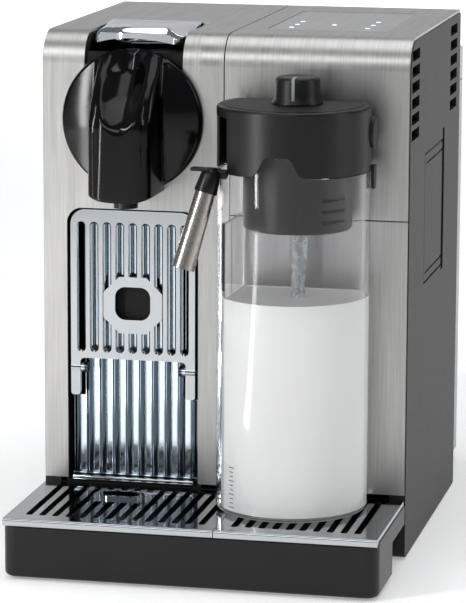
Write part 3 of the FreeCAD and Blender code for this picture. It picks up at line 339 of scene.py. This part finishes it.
# %% Material for each node
DRESS = {
    sheet_metal: "front_panel_left front_panel_upper_right front_panel_lower_right",
    touch_metal: "touch_panel",
    chrome: "lever_handle",
    fluted_chrome: "bin_front",
    shelf_chrome: "cup_shelf drip_grid_left drip_grid_right",
    spout_steel: "spout_tube",
    small_steel: "case_screws door_pins lever_pin shelf_pins tank_hinge_pin",
    cast_metal: "water_pump thermoblock steam_line",
    side_plastic: "side_shell_left side_shell_right rear_cover accessory_door",
    base_plastic: "base_plate front_sill accessory_pocket capsule_bin",
    recess_black: "head_shroud bay_liner finger_cup",
    housing_black: "froth_housing",
    tray_plastic: "drip_tray",
    lid_plastic: "lid_body spout_arm spout_head lid_latch froth_knob release_button coffee_nozzle",
    disc_plastic: "lid_top_disc",
    works_plastic: "brew_frame capsule_holder brew_piston tank_valve tank_dock flow_meter",
    rubber: "rubber_feet cord_inlet dock_seal pump_mounts inlet_seal",
    hose_rubber: "water_hoses coffee_hose",
    board: "power_board control_board",
    gloss_black: "coffee_dome",
    clear_plastic: "milk_jug",
    smoked: "water_tank tank_lid",
    milky: "suction_tube",
    lamp_glow: "indicator_lamps",
}
for material, names in DRESS.items():
    for name in names.split():
        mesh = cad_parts[name].data
        mesh.materials.clear()
        mesh.materials.append(material)
print("dressed", sum(len(names.split()) for names in DRESS.values()), "of", len(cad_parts))

# %% [markdown]
# ## From bmesh to piece
# Each new piece is shaped in a bmesh and handed over here: doubles are merged, normals face out, smooth
# shading stops at sharp corners, and the piece rides on its body and stands for its CAD node.

# %% Handing a piece over
def piece_from(shape, name, material, body, stands_for=(), corner=35.0):
    """Turns a finished bmesh into a named piece on its body and the nodes it stands for."""
    bmesh.ops.remove_doubles(shape, verts=shape.verts, dist=0.00001)
    bmesh.ops.recalc_face_normals(shape, faces=shape.faces)
    mesh = bpy.data.meshes.new(name)
    shape.to_mesh(mesh)
    shape.free()
    mesh.materials.append(material)
    mesh.shade_smooth()
    mesh.set_sharp_from_angle(angle=math.radians(corner))
    piece = bpy.data.objects.new(name, mesh)
    bpy.context.scene.collection.objects.link(piece)
    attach(piece, body)
    if stands_for:
        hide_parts(*stands_for)
    print(name, len(mesh.polygons), "faces")

# %% [markdown]
# ## The pouring head
# A round polished cover with a spout standing out of it. Two ridges run down from the rim like a tap's
# handle; between them a thumb scoop meets the upright spout in a short crease. It could be cut with
# booleans, but those leave hard seams where the real mould is blended, so it is one grid whose columns
# follow the spout's corners. Each column takes its height from the cover, the spout or the scoop, whichever
# is right there, and the edge is then drawn back to the panel.

# %% Sizes of the pouring head, in millimetres
HEAD = Vector((-48.3, -84.0, 227.0))
HEAD_R = 37.4
SPOUT_HALF = 16.7
SPOUT_FOOT = -39.0
RIDGE_R = 4.2
ROOT_R = 3.0
EDGE_HIGH, CROWN_RISE, RIM_R = 3.6, 6.4, 1.6
LEAST_HIGH = 0.6
FOOT_RISE, FOOT_R = 3.0, 1.5


def between(x, pairs):
    """Straight runs through (x, value) pairs."""
    if x <= pairs[0][0]:
        return pairs[0][1]
    for (x0, v0), (x1, v1) in zip(pairs, pairs[1:]):
        if x <= x1:
            t = (x - x0) / (x1 - x0)
            return v0 + (v1 - v0) * t
    return pairs[-1][1]


def eased(x, pairs, window=3.0):
    """The same line with its corners rounded over the window."""
    steps = [between(x + window * k / 4, pairs) for k in range(-4, 5)]
    return sum(steps) / len(steps)


RIDGE_LINE = [(-39, 28.0), (-1, 23.5), (12.5, 16.5), (23, 10.5), (32, 4.2), (37, 3.0)]
FRONT_LINE = [(-39, 33.4), (2, 34.0), (13, 28.0), (23, 20.0), (32, 8.5), (37, 4.0)]
SCOOP_LINE = [(-10, 48.0), (1, 33.5), (13, 17.5), (26, 4.5), (37, 0.5)]


def lower_of(a, b, soft):
    """The lower of two heights, blended where they come within soft of each other."""
    h = max(0.0, min(1.0, 0.5 + 0.5 * (b - a) / soft))
    return b + (a - b) * h - soft * h * (1 - h)


def cover_height(u, w):
    """The shallow dome, with a rolled rim."""
    r = math.hypot(u, w)
    crown = EDGE_HIGH + CROWN_RISE * (1 - (r / HEAD_R) ** 2)
    rim = max(0.0, r - (HEAD_R - RIM_R))
    return crown - (RIM_R - math.sqrt(max(0.0, RIM_R ** 2 - rim ** 2)))


def spout_height(u, w):
    """The spout's face: bowed lower down, scooped out between its ridges at the top."""
    across = min(1.0, abs(u) / SPOUT_HALF)
    ridge, front = eased(w, RIDGE_LINE), eased(w, FRONT_LINE)
    face = ridge + (front - ridge) * (1 - across ** 5)
    scoop = eased(w, SCOOP_LINE, 1.5) + 0.10 * u * u
    height = lower_of(face, scoop, between(w, [(0, 7.0), (14, 9.0), (26, 10.0)]))
    return max(height, LEAST_HIGH)


# %% Grid columns across the head
def head_columns():
    """Half of the columns: (kind, amount), from the middle outwards."""
    columns = [("face", i / 36) for i in range(36)]
    columns += [("ridge", math.radians(a)) for a in (0, 15, 30, 45, 60, 75, 90)]
    columns += [("root", math.radians(a)) for a in (0, 22, 45, 67, 90)]
    columns += [("flank", (i / 26) ** 0.9) for i in range(1, 27)]
    return columns


def head_point(column, w):
    """Place and height of one grid point: the column says which part of the section it is on."""
    kind, amount = column
    chord = math.sqrt(max(0.0, HEAD_R ** 2 - w * w)) if w > -HEAD_R else 0.0
    edge = max(chord, SPOUT_HALF)
    inner = SPOUT_HALF - RIDGE_R
    if kind == "face":
        u = inner * amount
        return u, spout_height(u, w)
    if kind == "ridge":
        u = inner + RIDGE_R * math.sin(amount)
        return u, max(LEAST_HIGH, spout_height(inner, w) - RIDGE_R * (1 - math.cos(amount)))
    root = min(ROOT_R, edge - SPOUT_HALF)
    base = cover_height(min(SPOUT_HALF + root, edge), w) if edge > SPOUT_HALF else 0.0
    top = spout_height(inner, w) - RIDGE_R
    if kind == "root":
        u = SPOUT_HALF + root * (1 - math.cos(amount))
        if edge <= SPOUT_HALF:
            return SPOUT_HALF, max(LEAST_HIGH, top)
        return u, min(max(top, LEAST_HIGH), base + root * (1 - math.sin(amount)))
    u = SPOUT_HALF + root + (edge - SPOUT_HALF - root) * amount
    if edge <= SPOUT_HALF:
        return SPOUT_HALF, max(LEAST_HIGH, top)
    return u, cover_height(u, w)


ROWS = 230
half_columns = head_columns()
shape = bmesh.new()
bmesh.ops.create_grid(shape, x_segments=2 * len(half_columns) - 2, y_segments=ROWS, size=1.0)
columns_count = 2 * len(half_columns) - 1
for vert in shape.verts:
    column = round((vert.co.x + 1) / 2 * (columns_count - 1)) - (len(half_columns) - 1)
    row = (vert.co.y + 1) / 2
    side = -1 if column < 0 else 1
    w = SPOUT_FOOT + row * (HEAD_R - SPOUT_FOOT)
    u, height = head_point(half_columns[abs(column)], w)
    top = math.sqrt(max(0.0, HEAD_R ** 2 - min(u, HEAD_R) ** 2))
    if u <= SPOUT_HALF + 1e-9:
        w = min(w, top)
    foot = FOOT_RISE * (min(1.0, u / SPOUT_HALF) ** 3)
    if w < SPOUT_FOOT + foot:
        w = SPOUT_FOOT + foot
    edge = max(0.0, FOOT_R - (w - SPOUT_FOOT - foot))
    height -= FOOT_R - math.sqrt(max(0.0, FOOT_R ** 2 - edge ** 2))
    vert.co = (HEAD + Vector((side * u, -height, w))) * MM
bmesh.ops.remove_doubles(shape, verts=shape.verts, dist=0.00002)
bmesh.ops.dissolve_degenerate(shape, edges=shape.edges, dist=0.00001)
rim_edges = [edge for edge in shape.edges if edge.is_boundary]
drawn = bmesh.ops.extrude_edge_only(shape, edges=rim_edges)["geom"]
for vert in [g for g in drawn if isinstance(g, bmesh.types.BMVert)]:
    vert.co.y = (HEAD.y + 0.05) * MM
bmesh.ops.holes_fill(shape, edges=[edge for edge in shape.edges if edge.is_boundary])
piece_from(shape, "pouring_head", gloss_black, "machine", ["coffee_dome"])

# %% [markdown]
# ## Chrome lever
# The lever is a crowned cap of chromed plastic: a bulge between two lower shoulders, with a lip for the
# finger that is bowed in plan and arched underneath. A grid laid over its outline is pushed up to the crown,
# its edge is drawn down as a skirt, and the whole is given a wall, as the moulding has. The barrel behind
# it is a turned drum about the hinge, so it stays in place while the cap swings up.

# %% Lever cap and barrel
LEVER_MID, LEVER_HALF = -48.0, 24.8
HINGE = Vector((0.0, -32.0, 262.0))
BARREL_R = 11.8
CAP_REAR, LIP_MID, LIP_BACK = -30.5, -89.6, 13.0
CAP_TOP, CAP_RISE, CAP_BOW, SHOULDER_DROP = 273.6, 2.0, 1.6, 4.2
LIP_DROP, GROOVE_DEPTH, GROOVE_AT, GROOVE_WIDTH = 3.0, 0.7, 0.84, 0.05
SKIRT_MID, SKIRT_ARCH, SKIRT_REAR, CAP_WALL = 270.0, 5.2, 271.2, 1.5


def smooth_step(x, low, high):
    """0 below low, 1 above high, and an S-shaped rise between them."""
    t = max(0.0, min(1.0, (x - low) / (high - low)))
    return t * t * (3 - 2 * t)


def cap_point(u, v):
    """Place of one point of the cap: u runs from -1 to 1 across it, v from 0 at the hinge to 1 at the lip."""
    lip = LIP_MID + LIP_BACK * u * u + 4.0 * smooth_step(abs(u), 0.82, 1.0)
    y = CAP_REAR + (lip - CAP_REAR) * v
    crown = smooth_step(-y, -CAP_REAR, 64.0)
    shoulder = smooth_step(abs(u), 0.66, 0.98)
    z = CAP_TOP + crown * (CAP_RISE - CAP_BOW * u * u - SHOULDER_DROP * shoulder)
    lip_fall = LIP_DROP * smooth_step(v, 0.88, 1.0) ** 2
    groove = GROOVE_DEPTH * math.exp(-((v - GROOVE_AT) / GROOVE_WIDTH) ** 2) * (1 - abs(u) ** 3)
    z -= lip_fall + groove
    return Vector((LEVER_MID + LEVER_HALF * u, y, z))


shape = bmesh.new()
bmesh.ops.create_grid(shape, x_segments=56, y_segments=64, size=1.0)
for vert in shape.verts:
    u, v = vert.co.x, (1 - vert.co.y) / 2
    vert.co = cap_point(u, 1 - (1 - v) ** 1.25) * MM
rim_edges = [edge for edge in shape.edges if edge.is_boundary]
skirt = bmesh.ops.extrude_edge_only(shape, edges=rim_edges)["geom"]
for vert in [g for g in skirt if isinstance(g, bmesh.types.BMVert)]:
    u = (vert.co.x / MM - LEVER_MID) / LEVER_HALF
    arch = SKIRT_MID - SKIRT_ARCH * u * u
    rear = smooth_step(vert.co.y / MM, -60.0, CAP_REAR)
    vert.co.z = (arch * (1 - rear) + SKIRT_REAR * rear) * MM
bmesh.ops.recalc_face_normals(shape, faces=shape.faces)
if sum(face.normal.z for face in shape.faces) < 0:
    bmesh.ops.reverse_faces(shape, faces=shape.faces)
bmesh.ops.solidify(shape, geom=shape.faces[:], thickness=CAP_WALL * MM)
piece_from(shape, "lever_cap", chrome, "lever", ["lever_handle"], corner=50.0)

shape = bmesh.new()
bmesh.ops.create_circle(shape, cap_ends=True, radius=BARREL_R * MM, segments=96)
bmesh.ops.rotate(shape, verts=shape.verts, matrix=Matrix.Rotation(math.pi / 2, 3, "Y"))
bmesh.ops.translate(shape, verts=shape.verts, vec=Vector((LEVER_MID - LEVER_HALF, HINGE.y, HINGE.z)) * MM)
drum = bmesh.ops.extrude_face_region(shape, geom=shape.faces[:])["geom"]
drum_end = [g for g in drum if isinstance(g, bmesh.types.BMVert)]
bmesh.ops.translate(shape, verts=drum_end, vec=(2 * LEVER_HALF * MM, 0, 0))
ends = [edge for edge in shape.edges if abs(edge.verts[0].co.x - edge.verts[1].co.x) < 1e-6]
bmesh.ops.bevel(shape, geom=ends, offset=0.6 * MM, segments=3, profile=0.5, affect="EDGES", material=-1)
piece_from(shape, "lever_barrel", chrome, "lever")

# %% [markdown]
# ## Small rounded blocks
# Several parts of the jug's lid are little bars. One helper makes a box from its corners and bevels every
# edge, which is what gives a small moulded bar its thin line of light.

# %% Bevelled bar
def bar(shape, low, high, rounding):
    """Adds a box between two corners, in millimetres, with its edges rounded."""
    made = bmesh.ops.create_cube(shape, size=1.0)["verts"]
    low, high = Vector(low) * MM, Vector(high) * MM
    bmesh.ops.scale(shape, verts=made, vec=high - low)
    bmesh.ops.translate(shape, verts=made, vec=(low + high) / 2)
    edges = list({edge for vert in made for edge in vert.link_edges})
    bmesh.ops.bevel(shape, geom=edges, offset=rounding * MM, segments=3, profile=0.5,
                    affect="EDGES", material=-1)


# %% [markdown]
# ## Lid details
# The lid's left side has a pocket for the spout's joint. Its two inner walls are lined here, so that the
# pocket is dark to its corner instead of letting the casing show through.

# %% Pocket liner and spout bracket
shape = bmesh.new()
bar(shape, (2.7, -113.0, 208.6), (4.5, -98.8, 236.2), 0.4)
bar(shape, (3.0, -100.8, 208.6), (14.0, -98.8, 236.2), 0.4)
piece_from(shape, "pocket_liner", lid_plastic, "lid")

shape = bmesh.new()
bar(shape, (2.2, -134.3, 205.2), (13.0, -128.0, 209.6), 1.2)
bar(shape, (2.6, -134.4, 203.6), (7.6, -131.2, 211.0), 1.2)
piece_from(shape, "spout_bracket", lid_plastic, "lid", ["spout_arm"])

# %% [markdown]
# ## Spout joint
# The joint is a black cone that takes the steel tube and ends in a round shoulder at its pin. It is turned:
# half a profile is spun about the tube's own line. A thin thumb tab stands out of it to the left.

# %% Turned cone and tab
PIN_AT = Vector((5.0, -138.0, 207.0))
TIP_AT = Vector((-6.9, -147.0, 161.5))
along_tube = (TIP_AT - PIN_AT).normalized()
across = along_tube.cross(Vector((0, 1, 0))).normalized()
CONE = [(-4.6, 0.0), (-4.4, 2.0), (-3.6, 3.6), (-2.0, 4.7), (0.0, 5.1)]
CONE += [(3.0, 5.4), (7.6, 5.9), (8.3, 5.7), (8.3, 5.15)]


def turned(shape, start, way, side, profile):
    """Spins a profile of (distance along, radius) about a line."""
    rail = [shape.verts.new((start + way * t + side * r) * MM) for t, r in profile]
    edges = [shape.edges.new(pair) for pair in zip(rail, rail[1:])]
    bmesh.ops.spin(shape, geom=rail + edges, cent=start * MM, axis=way, angle=math.tau, steps=64,
                   use_merge=True)


shape = bmesh.new()
turned(shape, PIN_AT, along_tube, across, CONE)
bmesh.ops.holes_fill(shape, edges=[edge for edge in shape.edges if edge.is_boundary])
bar(shape, (-4.5, -142.6, 210.2), (5.5, -136.4, 211.8), 0.7)
piece_from(shape, "spout_joint", joint_black, "spout", ["spout_head"])

# %% [markdown]
# ## Froth knob
# The knob is turned too: a flared foot, a straight waist and a soft top edge. A raised pointer runs up its
# front and in over the top edge.

# %% Knob and pointer
KNOB_AT = Vector((43.1, -107.0, 0.0))
KNOB = [(241.6, 0.0), (241.6, 13.0), (242.2, 13.0), (243.0, 12.5), (244.4, 11.9), (247.0, 11.55)]
KNOB += [(252.6, 11.4), (253.9, 11.1), (254.7, 10.4), (255.0, 9.4), (254.8, 8.6), (254.7, 0.0)]
shape = bmesh.new()
turned(shape, KNOB_AT, Vector((0, 0, 1)), Vector((1, 0, 0)), KNOB)
piece_from(shape, "knob_turned", knob_black, "knob", ["froth_knob"])
shape = bmesh.new()
bar(shape, (42.3, -119.2, 243.4), (43.9, -117.8, 254.9), 0.4)
bar(shape, (42.3, -119.0, 254.2), (43.9, -112.0, 255.3), 0.4)
piece_from(shape, "knob_pointer", pointer_grey, "knob")

# %% [markdown]
# ## Sill of the bin front
# The fluted front ends in a plain plated bar that closes the bay just above the grid. It is a bevelled bar,
# because only its rounded edge catches the light.

# %% Sill bar
shape = bmesh.new()
bar(shape, (-81.5, -84.6, 34.2), (-16.0, -82.4, 36.4), 0.5)
piece_from(shape, "bin_sill", chrome, "bin")

# %% [markdown]
# ## Scale on the jug
# Plain measuring lines sit within the jug's wall, just right of the divider. They are given a real
# thickness, because a film of no thickness would flicker.

# %% Scale lines
JUG_AXIS = Vector((41.5, -108.0, 0.0)) * MM
LINES, FIRST_Z, LINE_STEP, LINE_HIGH = 10, 37.0, 2.3, 0.4
SCALE_TURN = math.radians(-42)
shape = bmesh.new()
for index in range(LINES):
    z = FIRST_Z + LINE_STEP * index
    reach = 1.3 if index % 3 else 2.0
    bar(shape, (-reach, -37.5, z), (reach, -37.2, z + LINE_HIGH), 0.08)
bmesh.ops.rotate(shape, verts=shape.verts, matrix=Matrix.Rotation(SCALE_TURN, 3, "Z"))
bmesh.ops.translate(shape, verts=shape.verts, vec=JUG_AXIS)
piece_from(shape, "scale_lines", scale_grey, "jug")

# %% [markdown]
# ## Milk
# The milk fills the wide chamber of the jug, right of the divider. It is a little wider than the room
# inside the wall, so that no film of air lies between them to mirror the light.

# %% Milk fill
jug_low, jug_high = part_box("milk_jug")
INNER_R = 36.85 * MM
FLOOR_Z, MILK_Z = 35.15 * MM, 144.0 * MM
DIVIDER_X, BACK_Y = 11.75 * MM, -89.45 * MM
EDGE_WIDTH, SURFACE_DIP = 1.2 * MM, 0.7 * MM
print("jug height in mm", round((jug_high[2] - jug_low[2]) / MM, 1))
shape = bmesh.new()
bmesh.ops.create_circle(shape, cap_ends=True, radius=INNER_R, segments=128)
bmesh.ops.translate(shape, verts=shape.verts, vec=(JUG_AXIS.x, JUG_AXIS.y, FLOOR_Z))
for at, way in (((DIVIDER_X, 0, 0), (-1, 0, 0)), ((0, BACK_Y, 0), (0, 1, 0))):
    whole = list(shape.verts) + list(shape.edges) + list(shape.faces)
    bmesh.ops.bisect_plane(shape, geom=whole, plane_co=at, plane_no=way, clear_outer=True)
bottom = list(shape.faces)
raised = bmesh.ops.extrude_face_region(shape, geom=bottom)["geom"]
top_verts = [g for g in raised if isinstance(g, bmesh.types.BMVert)]
bmesh.ops.translate(shape, verts=top_verts, vec=(0, 0, MILK_Z - FLOOR_Z))
top_faces = [g for g in raised if isinstance(g, bmesh.types.BMFace)]
bmesh.ops.inset_region(shape, faces=top_faces, thickness=EDGE_WIDTH)
bmesh.ops.translate(shape, verts=list({v for f in top_faces for v in f.verts}), vec=(0, 0, -SURFACE_DIP))
piece_from(shape, "milk_fill", milk_white, "jug")
